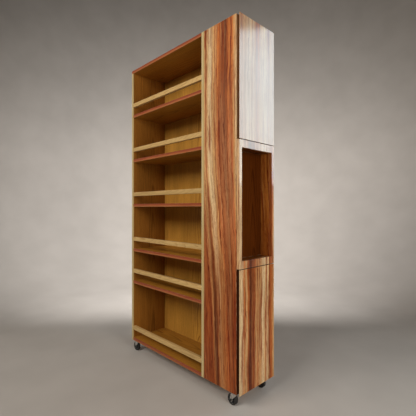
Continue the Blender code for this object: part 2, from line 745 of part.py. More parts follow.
clear_scene()
PARTS = new_collection("rolling_pantry_cart")
CUTTERS = new_collection("cutters")
STRIPED_WOOD = new_material("striped_wood", (0.36, 0.19, 0.09), 0.35)
SHELF_WOOD = new_material("shelf_wood", (0.30, 0.17, 0.06), 0.40)
RAIL_WOOD = new_material("rail_wood", (0.52, 0.36, 0.18), 0.40)
STEEL = new_material("hinge_steel", (0.55, 0.55, 0.56), 0.30, 1.0)
DARK_STEEL = new_material("dark_steel", (0.10, 0.10, 0.11), 0.40, 1.0)
ZINC = new_material("zinc_plate", (0.62, 0.63, 0.64), 0.28, 1.0)
RUBBER = new_material("black_rubber", (0.02, 0.02, 0.02), 0.70)
HUB_PLASTIC = new_material("grey_plastic", (0.12, 0.12, 0.13), 0.50)
CATCH_PLASTIC = new_material("catch_plastic", (0.45, 0.36, 0.26), 0.50)
CASE = new_empty("case_origin", (-(CART_LEFT + FACE) / 2, -CART_BACK / 2, CASTER_HEIGHT))

make_shelf_case()
make_column()
make_niche_frame()
for door_name, (door_bottom, door_top) in DOORS.items():
    make_door(door_name, door_bottom, door_top)
make_hinges()
make_catches()
make_casters()
cut_boards()
drill_hinge_pilots()
join_dowels()
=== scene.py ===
"""The looks of a rolling pantry cart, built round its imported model.

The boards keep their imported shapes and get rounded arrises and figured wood. The hinges, the catches
and the casters are replaced by finer pieces of the same size. The screws and the strike discs, which
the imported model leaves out, are added. Everything is in metres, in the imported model's frame: +X runs
from the plain end to the door end, +Y from the open shelf face to the back, and +Z up.
"""

import math

import bmesh
import bpy
from mathutils import Matrix, Vector


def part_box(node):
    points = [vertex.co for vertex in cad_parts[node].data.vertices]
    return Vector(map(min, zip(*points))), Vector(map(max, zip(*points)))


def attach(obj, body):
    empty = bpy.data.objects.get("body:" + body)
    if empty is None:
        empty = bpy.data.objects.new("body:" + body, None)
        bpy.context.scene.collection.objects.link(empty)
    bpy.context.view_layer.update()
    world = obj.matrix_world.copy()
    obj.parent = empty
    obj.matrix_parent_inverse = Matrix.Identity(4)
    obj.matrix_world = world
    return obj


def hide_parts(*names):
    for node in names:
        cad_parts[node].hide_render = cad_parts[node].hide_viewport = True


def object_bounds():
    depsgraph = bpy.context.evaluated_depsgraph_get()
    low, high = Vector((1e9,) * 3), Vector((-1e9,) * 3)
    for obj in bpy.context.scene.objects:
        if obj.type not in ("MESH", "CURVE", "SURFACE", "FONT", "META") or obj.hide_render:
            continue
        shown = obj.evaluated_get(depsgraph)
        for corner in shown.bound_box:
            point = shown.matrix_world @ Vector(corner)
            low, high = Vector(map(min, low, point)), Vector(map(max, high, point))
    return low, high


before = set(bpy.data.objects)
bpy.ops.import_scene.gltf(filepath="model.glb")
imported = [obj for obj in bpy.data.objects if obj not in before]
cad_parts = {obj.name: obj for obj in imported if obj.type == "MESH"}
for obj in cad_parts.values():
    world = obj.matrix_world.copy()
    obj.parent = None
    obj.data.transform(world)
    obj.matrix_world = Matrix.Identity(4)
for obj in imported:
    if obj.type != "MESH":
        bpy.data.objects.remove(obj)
cad_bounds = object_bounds()

SCENE = bpy.context.scene
CORNERS = ("front_left", "front_right", "back_left", "back_right")
DOORS = ("lower_door", "upper_door")

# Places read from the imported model
FLOOR = cad_bounds[0].z
CASE_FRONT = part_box("left_side_panel")[0].y
CASE_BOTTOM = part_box("left_side_panel")[0].z
COLUMN_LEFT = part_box("column_front_panel")[0].x
COLUMN_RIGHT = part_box("column_front_panel")[1].x
DOOR_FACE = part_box("upper_door")[1].x

# Turns that lay a piece drawn along local Z along an axis, or on its head
ALONG_X = Matrix.Rotation(math.pi / 2, 4, "Y")
ALONG_Y = Matrix.Rotation(-math.pi / 2, 4, "X")
AGAINST_Y = Matrix.Rotation(math.pi / 2, 4, "X")
ALONG_Z = Matrix.Identity(4)
UPSIDE_DOWN = Matrix.Rotation(math.pi, 4, "X")

# Turns for an outline given in Y and Z and drawn out along X, or in X and Z and along Y
OUTLINE_YZ = Matrix(((0, 0, 1, 0), (1, 0, 0, 0), (0, 1, 0, 0), (0, 0, 0, 1)))
OUTLINE_XZ = Matrix(((1, 0, 0, 0), (0, 0, 1, 0), (0, 1, 0, 0), (0, 0, 0, 1)))


# Camera, lights and stage ----------------------------------------------------------------------

# name, place, what it faces, width, height, watts, colour
LAMPS = (
    ("key", (0.0, -3.0, 2.75), (0.1, 0.0, 1.1), 2.4, 1.4, 49, (1.0, 0.95, 0.87)),
    ("fill", (2.75, -0.62, 1.35), (0.3, 0.0, 0.7), 1.0, 1.2, 21, (1.0, 0.94, 0.86)),
    ("window", (1.87, 1.76, 2.2), (0.513, 0.0, 1.7), 0.65, 1.8, 10, (0.74, 0.90, 1.0)),
    ("backdrop_light", (-0.45, 0.43, 1.3), (-2.9, 2.8, 0.75), 3.0, 1.3, 72, (1.0, 0.97, 0.94)),
)
WORLD_GLOW = 0.05
WORLD_SEEN = 0.42  # what the camera sees above the stage's wall


def make_camera():
    """A level camera a little over a metre up, off the corner of the open face and the door end.

    Its place, its turn and its lens were fitted to the case's corners in the photograph.
    """
    data = bpy.data.cameras.new("camera")
    data.lens = 28.49
    data.sensor_width = 36.0
    camera = bpy.data.objects.new("camera", data)
    camera.location = (1.5917, -1.4188, 1.0291)
    camera.rotation_euler = (math.pi / 2, 0, math.radians(45.91))
    SCENE.collection.objects.link(camera)
    SCENE.camera = camera


def add_softbox(name, place, target, width, height, watts, colour):
    """A soft rectangular lamp that the camera doesn't see."""
    data = bpy.data.lights.new(name, "AREA")
    data.shape = "RECTANGLE"
    data.size = width
    data.size_y = height
    data.energy = watts
    data.color = colour
    data.spread = math.radians(140)
    lamp = bpy.data.objects.new(name, data)
    lamp.location = place
    lamp.rotation_euler = (Vector(target) - Vector(place)).to_track_quat("-Z", "Y").to_euler()
    lamp.visible_camera = False
    SCENE.collection.objects.link(lamp)


def make_lights():
    """A faint world and four lamps.

    The key is wide, in front and above. The fill is off the door end, and the window is past its back
    corner, where its cool reflection whitens the upper door. The last lamp lights the backdrop.
    """
    world = bpy.data.worlds.new("studio")
    world.use_nodes = True
    tree = world.node_tree
    background = tree.nodes["Background"]
    background.inputs["Color"].default_value = (1.0, 0.96, 0.90, 1.0)
    rays = tree.nodes.new("ShaderNodeLightPath")
    strength = tree.nodes.new("ShaderNodeMapRange")
    strength.inputs["To Min"].default_value = WORLD_GLOW
    strength.inputs["To Max"].default_value = WORLD_SEEN
    tree.links.new(rays.outputs["Is Camera Ray"], strength.inputs["Value"])
    tree.links.new(strength.outputs["Result"], background.inputs["Strength"])
    SCENE.world = world
    for lamp in LAMPS:
        add_softbox(*lamp)


def make_stage():
    """A pale round floor that sweeps up into a wall on every side."""
    form = bmesh.new()
    flat, sweep, wall_top = 2.2, 1.8, 5.0
    sweep_steps, round_steps = 16, 96
    profile = [(flat, 0.0)]
    for i in range(1, sweep_steps + 1):
        angle = math.pi / 2 * i / sweep_steps
        profile.append((flat + sweep * math.sin(angle), sweep - sweep * math.cos(angle)))
    profile.append((flat + sweep, wall_top))
    angles = [2 * math.pi * i / round_steps for i in range(round_steps)]
    circle = [(math.cos(angle), math.sin(angle)) for angle in angles]
    rings = []
    for out, up in profile:
        rings.append([form.verts.new((out * x, out * y, up)) for x, y in circle])
    form.faces.new(rings[0])
    for lower, upper in zip(rings, rings[1:]):
        for i in range(round_steps):
            form.faces.new((lower[i], lower[i - 1], upper[i - 1], upper[i]))
    mesh = bpy.data.meshes.new("stage")
    form.to_mesh(mesh)
    form.free()
    mesh.shade_smooth()
    stage = bpy.data.objects.new("stage", mesh)
    stage.location = (0, 0, FLOOR)
    SCENE.collection.objects.link(stage)
    look = Look("stage_paper")
    here = look.coordinates()
    speck = look.noise(look.stretch(here, (3, 3, 3)), 1.0, 2.0)
    paper = [(0.3, srgb(182, 177, 172)), (0.7, srgb(190, 185, 180))]
    look.set("Base Color", look.ramp(speck, paper))
    look.set("Roughness", 0.85)
    mesh.materials.append(look.material)


# Material helpers ------------------------------------------------------------------------------

# The places of a Mix node's colour sockets
MIX_SHARE, MIX_FIRST, MIX_SECOND = 0, 6, 7
MIX_RESULT = 2


def srgb(red, green, blue):
    """A display colour, 0 to 255, as the linear colour that a shader takes."""
    linear = []
    for part in (red, green, blue):
        part = part / 255
        linear.append(part / 12.92 if part <= 0.04045 else ((part + 0.055) / 1.055) ** 2.4)
    return (*linear, 1.0)


def grey(level):
    """A linear grey."""
    return (level, level, level, 1.0)


class Look:
    """A material under construction. Most methods add a node and return its output."""

    def __init__(self, name):
        self.material = bpy.data.materials.new(name)
        self.material.use_nodes = True
        self.tree = self.material.node_tree
        self.shader = self.tree.nodes["Principled BSDF"]

    def feed(self, socket, value):
        if isinstance(value, bpy.types.NodeSocket):
            self.tree.links.new(value, socket)
        else:
            socket.default_value = value

    def set(self, name, value):
        self.feed(self.shader.inputs[name], value)

    def node(self, kind, *values, **settings):
        """A node whose first inputs take values, in order."""
        made = self.tree.nodes.new("ShaderNode" + kind)
        for key, value in settings.items():
            setattr(made, key, value)
        for socket, value in zip(made.inputs, values):
            if value is not None:
                self.feed(socket, value)
        return made

    def coordinates(self):
        return self.node("TexCoord").outputs["Object"]

    def split(self, vector):
        return self.node("SeparateXYZ", vector).outputs

    def join(self, x, y, z):
        return self.node("CombineXYZ", x, y, z).outputs[0]

    def math(self, operation, *values):
        return self.node("Math", *values, operation=operation).outputs[0]

    def add(self, a, b):
        return self.math("ADD", a, b)

    def less(self, a, b):
        return self.math("SUBTRACT", a, b)

    def times(self, a, b):
        return self.math("MULTIPLY", a, b)

    def stretch(self, vector, factors, shift=(0, 0, 0)):
        made = self.node("VectorMath", vector, factors, shift, operation="MULTIPLY_ADD")
        return made.outputs[0]

    def noise(self, vector, scale, detail=2.0, roughness=0.5):
        made = self.node("TexNoise")
        self.feed(made.inputs["Vector"], vector)
        self.feed(made.inputs["Scale"], scale)
        self.feed(made.inputs["Detail"], detail)
        self.feed(made.inputs["Roughness"], roughness)
        return made.outputs["Fac"]

    def fit(self, value, low, high, to_low=0.0, to_high=1.0, smooth=False):
        """value from low..high to to_low..to_high, held at both ends."""
        kind = "SMOOTHSTEP" if smooth else "LINEAR"
        made = self.node("MapRange", value, low, high, to_low, to_high, interpolation_type=kind)
        return made.outputs[0]

    def vary(self, noise, low, high):
        """low where the noise is at its usual lowest, to high where it is at its usual highest."""
        return self.fit(noise, 0.3, 0.7, low, high)

    def ramp(self, value, stops):
        """The colour at value along (place, colour) stops."""
        made = self.node("ValToRGB", value)
        ramp = made.color_ramp
        for index, (position, colour) in enumerate(stops):
            stop = ramp.elements[index] if index < 2 else ramp.elements.new(position)
            stop.position = position
            stop.color = colour
        return made.outputs["Color"]

    def curve(self, value, points):
        """A smooth curve through (in, out) points, each from 0 to 1."""
        made = self.node("FloatCurve", 1.0, value)
        line = made.mapping.curves[0]
        for index, (x, y) in enumerate(points):
            point = line.points[index] if index < 2 else line.points.new(x, y)
            point.location = (x, y)
        made.mapping.update()
        return made.outputs[0]

    def mix(self, share, a, b, blend="MIX"):
        made = self.node("Mix", data_type="RGBA", blend_type=blend)
        self.feed(made.inputs[MIX_SHARE], share)
        self.feed(made.inputs[MIX_FIRST], a)
        self.feed(made.inputs[MIX_SECOND], b)
        return made.outputs[MIX_RESULT]

    def shade(self, colour, value, low, high):
        """colour times low where the noise value is at its lowest, to high where it is at its highest."""
        amount = self.vary(value, low, high)
        return self.mix(1.0, colour, self.join(amount, amount, amount), "MULTIPLY")

    def bump(self, height, distance):
        """height, 0 to 1, raises the surface by up to distance metres."""
        made = self.node("Bump")
        made.inputs["Strength"].default_value = 1.0
        made.inputs["Distance"].default_value = distance
        self.feed(made.inputs["Height"], height)
        self.set("Normal", made.outputs["Normal"])


# Wood ------------------------------------------------------------------------------------------

# PAINTED_GLARE is painted reflection: the window's pale glare on the door end, painted into its colour
PAINTED_GLARE = srgb(186, 166, 146)
PALE = srgb(208, 180, 138)
TAN = srgb(192, 148, 98)
GOLD = srgb(202, 150, 82)
ORANGE = srgb(186, 108, 48)
RUSSET = srgb(158, 84, 36)
BROWN = srgb(126, 60, 22)
DARK = srgb(86, 34, 8)
MIDDLE_TONE = srgb(168, 113, 76)  # what darker wood about the column's middle is lightened towards
GAP_SHADE = srgb(80, 38, 16)  # painted shade: the dark of the gaps and finger pulls, painted onto the edges that show in them
RUBBED = srgb(205, 178, 138)  # arrises whose lacquer has worn off

# What each of these does to the colour that it is multiplied with
VEIN = (0.58, 0.31, 0.23, 1.0)  # a dark vein
LOW = (0.74, 0.50, 0.28, 1.0)  # the browner foot of the column
STAIN = (0.74, 0.52, 0.34, 1.0)  # the column's back panel

# The early and the late wood of each kind of ringed board
SHELF_WOOD = (srgb(176, 122, 46), srgb(100, 56, 14))
SIDE_WOOD = (srgb(162, 108, 42), srgb(88, 46, 12))
BACK_WOOD = (srgb(200, 146, 62), srgb(122, 74, 22))
RAIL_WOOD = (srgb(206, 172, 114), srgb(172, 130, 76))
# Painted shade: the niche's floor, ceiling and back get near-black wood for the shade that fills the niche
NICHE_SHADE_WOOD = (srgb(112, 60, 18), srgb(60, 26, 5))
NICHE_BACK_SHADE_WOOD = (srgb(84, 40, 10), srgb(44, 17, 3))
LATE_SHARE = [(0.0, grey(0.05)), (0.55, grey(0.25)), (0.86, grey(1.0)), (1.0, grey(0.05))]  # over a ring

# The two colours of each lipping, and how far back from the front edge it reaches
PALE_LIP = (srgb(203, 184, 138), srgb(190, 165, 112))
RED_LIP = (srgb(144, 68, 44), srgb(170, 102, 60))
LIP_DEPTH, LIP_BLUR = 0.0040, 0.0006

# Coat weight and specular level
LACQUER = {"upper_door": (1.0, 0.5), "niche_frame": (1.0, 0.5), "niche_back": (0.0, 0.0)}
THIN_LACQUER = (0.08, 0.18)  # every other board
RELIEF = 0.00012  # from the bottom of a pore to the top of a fibre
RUBBED_WIDTH = 0.003  # how far from an arris its lacquer is worn


def edge_share(look, here, low, high, width):
    """1 on an arris of the box from low to high, falling to 0 at width from it."""
    nearness = []
    for place, start, end in zip(look.split(here), low, high):
        from_face = look.math("MINIMUM", look.less(place, start), look.less(end, place))
        nearness.append(look.fit(from_face, 0.0, width, 1.0, 0.0))
    x, y, z = nearness
    xy, yz, zx = look.times(x, y), look.times(y, z), look.times(z, x)
    return look.math("MAXIMUM", look.math("MAXIMUM", xy, yz), zx)


def finish_wood(look, colour, fibres, pores, here, node):
    """Lacquer, open pores and rubbed arrises on a board."""
    low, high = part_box(node)
    rubbed = edge_share(look, here, low, high, RUBBED_WIDTH)
    patchy = look.noise(look.stretch(here, (40, 40, 40)), 1.0, 3.0)
    rubbed = look.times(rubbed, look.fit(patchy, 0.40, 0.65))
    look.set("Base Color", look.mix(look.times(rubbed, 0.35), colour, RUBBED))
    gloss = look.vary(look.noise(look.stretch(here, (9, 9, 9)), 1.0, 3.0), 0.33, 0.43)
    look.set("Roughness", look.add(gloss, look.times(rubbed, 0.12)))
    coat, specular = LACQUER.get(node, THIN_LACQUER)
    look.set("Coat Weight", coat)
    look.set("Coat Roughness", 0.11)
    look.set("Specular IOR Level", specular)
    relief = look.add(look.times(fibres, 0.5), look.times(pores, -0.5))
    look.bump(look.add(relief, 0.5), RELIEF)


def streaks(look, across, through, along, fineness, length, detail=3.0):
    """Noise drawn out along the grain: fineness streaks a metre across it and length a metre along it."""
    scaled = (look.times(across, fineness), look.times(through, fineness), look.times(along, length))
    return look.noise(look.join(*scaled), 1.0, detail, 0.6)


def ring_wood(node, grain, colours, heart, lip=None, shift=(0, 0, 0), pitch=0.008):
    """A plain-sawn board: growth rings about a heart line, with fibres and pores.

    The grain runs along axis number grain, 0 or 2. colours are early and late wood. heart is where the
    rings' middle lies, as (across, through) from the board's middle, and pitch is their spacing. lip is
    the pair of colours of the thin lipping along the board's front edge. shift moves the board through
    the wood, so that no two are alike.
    """
    look = Look(f"{node}_wood")
    here = look.coordinates()
    early, late = colours
    axis_across, axis_through = 1, 2 - grain
    parts = look.split(look.stretch(here, (1, 1, 1), shift))
    across, through, along = parts[axis_across], parts[axis_through], parts[grain]
    low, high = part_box(node)
    middle = (low + high) / 2 + Vector(shift)
    wander = streaks(look, across, through, along, 7.0, 1.3)
    off_across = look.less(across, middle[axis_across] + heart[0])
    off_across = look.add(off_across, look.fit(wander, 0.0, 1.0, -0.035, 0.035))
    off_through = look.less(through, middle[axis_through] + heart[1])
    squares = look.add(look.times(off_across, off_across), look.times(off_through, off_through))
    radius = look.add(look.math("SQRT", squares), look.times(along, 0.035))
    uneven = look.noise(look.join(look.times(radius, 18.0), 0.0, look.times(along, 0.8)), 1.0, 2.0)
    ring = look.math("FRACT", look.add(look.times(radius, 1 / pitch), look.times(uneven, 5.0)))
    strength = look.vary(streaks(look, across, through, along, 25.0, 2.0), 0.25, 0.85)
    colour = look.mix(look.times(look.ramp(ring, LATE_SHARE), strength), early, late)
    broad = streaks(look, across, through, along, 6.0, 0.9)
    colour = look.shade(colour, broad, 0.80, 1.20)
    fibres = streaks(look, across, through, along, 420.0, 9.0)
    colour = look.shade(colour, fibres, 0.85, 1.15)
    pores = look.fit(streaks(look, across, through, along, 1100.0, 42.0, 1.0), 0.60, 0.70)
    colour = look.mix(look.times(pores, 0.55), colour, late)
    if lip:
        lip_end = low.y + LIP_DEPTH
        lipping = look.fit(look.split(here)[1], lip_end, lip_end + LIP_BLUR, 1.0, 0.0)
        colour = look.mix(lipping, colour, lip_colour(look, here, low, high, grain, *lip))
    finish_wood(look, colour, fibres, pores, here, node)
    return look.material


def lip_colour(look, here, low, high, grain, first, second):
    """A thin lipping: fine straight grain that drifts from one colour to the other across the edge."""
    x, _, z = look.split(here)
    along, across, start, end = (z, x, low.x, high.x) if grain == 2 else (x, z, high.z, low.z)
    band = look.fit(across, start, end)
    drift = look.noise(look.join(look.times(along, 2.2), 0.0, 0.0), 1.0, 2.0)
    fine = look.noise(look.join(look.times(along, 5.0), look.times(across, 500.0), 0.0), 1.0, 3.0)
    share = look.add(band, look.vary(drift, -0.45, 0.45))
    colour = look.mix(look.fit(share, 0.15, 0.85, smooth=True), first, second)
    return look.shade(colour, fine, 0.80, 1.20)


# Striped wood. Its heights are metres above the case's bottom.

BEND_HEIGHT = 2.0  # metres of height that 1 on a bend curve stands for
BEND_DRIFT = 0.13  # metres that the stripes have drifted where a bend curve is 1
COLUMN_BENDS = [
    (0.0, 0.94),
    (0.10, 0.80),
    (0.25, 0.66),
    (0.33, 0.53),
    (0.41, 0.36),
    (0.50, 0.20),
    (0.60, 0.06),
    (0.70, 0.0),
    (1.0, 0.03),
]
DOOR_BENDS = [(0.0, 0.0), (0.25, 0.03), (0.5, 0.06), (0.75, 0.0), (1.0, 0.05)]

# Metres across the board, and the colour there
COLUMN_STRIPES = [
    (-0.140, BROWN),
    (-0.112, RUSSET),
    (-0.092, BROWN),
    (-0.070, RUSSET),
    (-0.050, BROWN),
    (-0.030, RUSSET),
    (-0.014, TAN),
    (0.000, TAN),
    (0.010, RUSSET),
    (0.015, BROWN),
    (0.022, TAN),
    (0.032, PALE),
    (0.055, PALE),
    (0.070, TAN),
    (0.080, TAN),
    (0.086, RUSSET),
    (0.091, TAN),
    (0.103, ORANGE),
    (0.116, RUSSET),
    (0.130, BROWN),
    (0.148, BROWN),
    (0.158, DARK),
    (0.167, DARK),
    (0.173, RUSSET),
    (0.184, ORANGE),
    (0.194, RUSSET),
    (0.206, ORANGE),
    (0.222, TAN),
    (0.236, PALE),
    (0.250, GOLD),
]
DOOR_STRIPES = [
    (-0.020, TAN),
    (0.004, PALE),
    (0.026, PALE),
    (0.036, ORANGE),
    (0.043, TAN),
    (0.056, TAN),
    (0.066, RUSSET),
    (0.080, DARK),
    (0.092, DARK),
    (0.100, BROWN),
    (0.110, BROWN),
    (0.124, RUSSET),
    (0.136, TAN),
    (0.148, RUSSET),
    (0.156, TAN),
    (0.178, TAN),
    (0.190, PALE),
    (0.212, PALE),
    (0.222, TAN),
    (0.229, RUSSET),
    (0.238, PALE),
    (0.250, TAN),
    (0.262, RUSSET),
    (0.274, RUSSET),
    (0.284, ORANGE),
    (0.292, TAN),
    (0.330, PALE),
    (0.360, PALE),
    (0.370, RUSSET),
    (0.380, TAN),
    (0.440, PALE),
]
STREAK = 0.004  # metres across the column, where its dark streak lies


def figure_coordinate(look, across, height, depth, bends):
    """The coordinate that stripes follow: metres across the board, less how far they have drifted."""
    sway = look.vary(streaks(look, across, depth, height, 7.0, 0.9, 2.0), -0.006, 0.006)
    ripple = look.vary(streaks(look, across, depth, height, 40.0, 4.5, 2.0), -0.005, 0.005)
    fray = look.vary(streaks(look, across, depth, height, 150.0, 12.0, 2.0), -0.004, 0.004)
    wavy = look.add(look.add(sway, ripple), fray)
    lean = look.times(look.curve(look.fit(height, 0.0, BEND_HEIGHT), bends), BEND_DRIFT)
    lean = look.times(lean, look.fit(across, 0.0, 0.24, 1.12, 0.58))
    return look.less(look.add(across, wavy), lean)


def column_tones(look, colour, figure, height):
    """The column's tones by height: lighter about its middle, and browner and streaked towards its foot."""
    off_streak = look.math("ABSOLUTE", look.less(figure, STREAK))
    streak = look.fit(off_streak, 0.006, 0.022, 1.0, 0.0, smooth=True)
    streak = look.times(streak, look.fit(height, 1.2, 0.4, 0.0, 0.85))
    middle_lift = look.less(look.fit(height, 1.7, 1.2, 0.0, 0.75), look.fit(height, 0.9, 0.4, 0.0, 0.45))
    colour = look.mix(middle_lift, colour, MIDDLE_TONE, "LIGHTEN")
    colour = look.mix(look.fit(height, 1.0, 0.4, 0.0, 0.45), colour, RUSSET)
    colour = look.mix(streak, colour, DARK)
    return look.mix(look.fit(height, 1.1, 0.3, 0.0, 0.80), colour, LOW, "MULTIPLY")


def stripe_grain(look, colour, figure, across, depth, height):
    """Everything finer than the stripes, laid over them. Returns the colour, the fibres and the pores."""
    bands = streaks(look, figure, depth, height, 50.0, 1.1)
    colour = look.mix(look.fit(bands, 0.54, 0.68, 0.0, 0.60), colour, RUSSET)
    colour = look.mix(look.fit(bands, 0.47, 0.32, 0.0, 0.35), colour, TAN)
    veins = streaks(look, figure, depth, height, 72.0, 1.3, 4.0)
    colour = look.mix(look.fit(veins, 0.53, 0.63), colour, VEIN, "MULTIPLY")
    colour = look.shade(colour, veins, 1.24, 0.94)
    threads = streaks(look, figure, depth, height, 190.0, 4.0)
    colour = look.mix(look.fit(threads, 0.53, 0.65, 0.0, 0.9), colour, VEIN, "MULTIPLY")
    colour = look.shade(colour, threads, 1.18, 0.92)
    fibres = streaks(look, figure, depth, height, 560.0, 13.0)
    colour = look.shade(colour, fibres, 0.80, 1.20)
    pores = look.fit(streaks(look, across, depth, height, 1300.0, 36.0, 1.0), 0.58, 0.66)
    colour = look.mix(look.times(pores, 0.45), colour, BROWN)
    cloudy = (look.times(across, 9.0), look.times(depth, 9.0), look.times(height, 3.0))
    cloud = look.noise(look.join(*cloudy), 1.0, 3.0)
    return look.shade(colour, cloud, 0.84, 1.14), fibres, pores


def painted_glare_share(look, x, height):
    """How much painted glare pales the door end: most from 1.34 to 1.72 metres up, and only near its outer
    face.
    """
    glare = look.less(look.fit(height, 1.08, 1.34, 0.0, 0.66), look.fit(height, 1.72, 1.93, 0.0, 0.55))
    return look.times(glare, look.fit(x, DOOR_FACE - 0.006, DOOR_FACE - 0.003))


def column_gap_shade(look, x, height):
    """Painted shade on the column panels' ends that face the doors, darker lower down, where less light
    gets into the gap.
    """
    end = look.fit(x, COLUMN_RIGHT - 0.0012, COLUMN_RIGHT - 0.0004)
    return look.times(end, look.fit(height, 1.25, 0.7, 0.25, 1.0))


def door_gap_shade(look, node, x, y, z):
    """Painted shade on the ends of a board at the door end that face a gap, and in a door's finger pull."""
    low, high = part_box(node)
    if node == "upper_door":
        from_gap = look.less(z, low.z)
    elif node == "lower_door":
        from_gap = look.less(high.z, z)
    else:
        from_gap = look.math("MINIMUM", look.less(high.z, z), look.less(z, low.z))
    # ends and pull mark where the gaps' shade is painted
    ends = look.fit(from_gap, 0.0009, 0.0003)
    if node not in DOORS:
        return ends
    pull = look.fit(y, CASE_FRONT + 0.012, CASE_FRONT + 0.009)
    pull = look.times(look.fit(x, DOOR_FACE - 0.0010, DOOR_FACE - 0.0022), pull)
    return look.math("MAXIMUM", pull, ends)


def striped_wood(node, bends, stripes, stain=None, slide=0.0):
    """A tropical board whose broad stripes drift across it down its height.

    bends is the curve of that drift, and stripes are in order across the board. stain is a colour that
    the whole board is multiplied with. slide moves the stripes sideways.
    """
    look = Look(f"{node}_wood")
    here = look.coordinates()
    x, y, z = look.split(here)
    height = look.less(z, CASE_BOTTOM)
    in_column = node.startswith("column")
    if in_column:
        across, depth = look.less(x, COLUMN_LEFT), look.less(y, CASE_FRONT)
    else:
        across, depth = look.less(y, CASE_FRONT), look.less(x, DOOR_FACE)
    across = look.add(look.add(across, slide), look.times(depth, 0.6))
    figure = figure_coordinate(look, across, height, depth, bends)
    first, last = stripes[0][0], stripes[-1][0]
    stops = [((place - first) / (last - first), colour) for place, colour in stripes]
    colour = look.ramp(look.fit(figure, first, last), stops)
    if in_column:
        colour = column_tones(look, colour, figure, height)
    if stain:
        colour = look.mix(1.0, colour, stain, "MULTIPLY")
    colour, fibres, pores = stripe_grain(look, colour, figure, across, depth, height)
    if in_column:
        cut = column_gap_shade(look, x, height)
    else:
        # painted reflection of the window's glare, paling the door end
        colour = look.mix(painted_glare_share(look, x, height), colour, PAINTED_GLARE)
        cut = door_gap_shade(look, node, x, y, z)
    # cut is painted shade: the dark of the gaps and finger pulls, laid on as colour
    colour = look.mix(cut, colour, GAP_SHADE)
    finish_wood(look, colour, fibres, pores, here, node)
    return look.material


# Boards ----------------------------------------------------------------------------------------

WELD_REACH = 0.00001
ARRIS = 0.00025  # the width that a board's chamfered arrises are rounded over


def add_rounding(item, width, angle):
    """Rounds the edges of item at which its faces turn by more than angle degrees."""
    weld = item.modifiers.new("weld", "WELD")
    weld.merge_threshold = WELD_REACH
    bevel = item.modifiers.new("rounding", "BEVEL")
    bevel.width = width
    bevel.segments = 2
    bevel.limit_method = "ANGLE"
    bevel.angle_limit = math.radians(angle)


def dress_board(node, material):
    """Gives a packed board its wood and rounds its chamfered arrises."""
    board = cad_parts[node]
    board.data.materials.clear()
    board.data.materials.append(material)
    board.data.shade_smooth()
    add_rounding(board, ARRIS, 30)
    normals = board.modifiers.new("flat faces", "WEIGHTED_NORMAL")
    normals.keep_sharp = True
    normals.weight = 80


def dress_boards():
    """Each packed board in its own wood, with the niche's boards darkened by painted shade."""
    dress_board("column_front_panel", striped_wood("column_front_panel", COLUMN_BENDS, COLUMN_STRIPES))
    dress_board("column_back_panel", striped_wood("column_back_panel", COLUMN_BENDS, COLUMN_STRIPES, STAIN))
    for node in ("niche_frame", *DOORS):
        slide = 0.13 if node == "upper_door" else 0.0
        dress_board(node, striped_wood(node, DOOR_BENDS, DOOR_STRIPES, slide=slide))
    # the niche's back is painted near black: painted shade
    material = ring_wood("niche_back", 2, NICHE_BACK_SHADE_WOOD, (0.06, 0.08), None, (0.3, 0.2, 0.5), 0.006)
    dress_board("niche_back", material)
    for index, node in enumerate(("left_side_panel", "divider_panel")):
        shift = (1.3 * index, 0.7, 0.4)
        dress_board(node, ring_wood(node, 2, SIDE_WOOD, (0.02, 0.055), PALE_LIP, shift))
    material = ring_wood("back_panel", 2, BACK_WOOD, (0.10, 0.09), None, (0.2, 0.3, 0.9), 0.010)
    dress_board("back_panel", material)
    level = ("bottom_board", *[f"shelf_{i}" for i in range(1, 6)], "top_board")
    for index, node in enumerate(level):
        shift = (0.61 * index, 0.0, 0.0)
        heart = (0.05 * math.cos(2.1 * index), 0.060)
        dress_board(node, ring_wood(node, 0, SHELF_WOOD, heart, RED_LIP, shift))
    for index in range(1, 7):
        node = f"guard_rail_{index}"
        shift = (0.83 * index, 0.0, 0.0)
        dress_board(node, ring_wood(node, 0, RAIL_WOOD, (0.09, 0.02), None, shift, 0.005))
    inner = ("column_bottom_board", "niche_floor", "niche_ceiling", "column_top_board")
    for index, node in enumerate(inner):
        shift = (0.47 * index, 0.0, 0.0)
        # the niche's floor and ceiling take painted shade as darker wood
        wood = NICHE_SHADE_WOOD if node.startswith("niche") else SHELF_WOOD
        dress_board(node, ring_wood(node, 0, wood, (0.03, 0.07), None, shift))


# Mesh helpers ----------------------------------------------------------------------------------

SHARP_ANGLE = math.radians(32)  # an edge that turns more than this is shaded sharp


def add_outline(form, points, low, high, place=ALONG_Z):
    """A flat outline in the local XY plane, drawn out from height low to high and then put in place."""
    ends = []
    for height in (low, high):
        ends.append([form.verts.new(place @ Vector((x, y, height))) for x, y in points])
    form.faces.new(ends[0])
    form.faces.new(ends[1])
    for i in range(len(points)):
        form.faces.new((ends[0][i - 1], ends[0][i], ends[1][i], ends[1][i - 1]))


def rounded_outline(corners, turns=5):
    """An outline from (x, y, radius) corners, each drawn as an arc of its radius."""
    points = []
    for i, (x, y, radius) in enumerate(corners):
        here = Vector((x, y))
        before = (Vector(corners[i - 1][:2]) - here).normalized()
        after = (Vector(corners[(i + 1) % len(corners)][:2]) - here).normalized()
        half = before.angle(after) / 2
        reach = radius / math.tan(half)
        middle = here + (before + after).normalized() * radius / math.sin(half)
        start = (here + before * reach - middle).normalized()
        end = (here + after * reach - middle).normalized()
        points.extend(middle + radius * start.slerp(end, step / turns) for step in range(turns + 1))
    return points


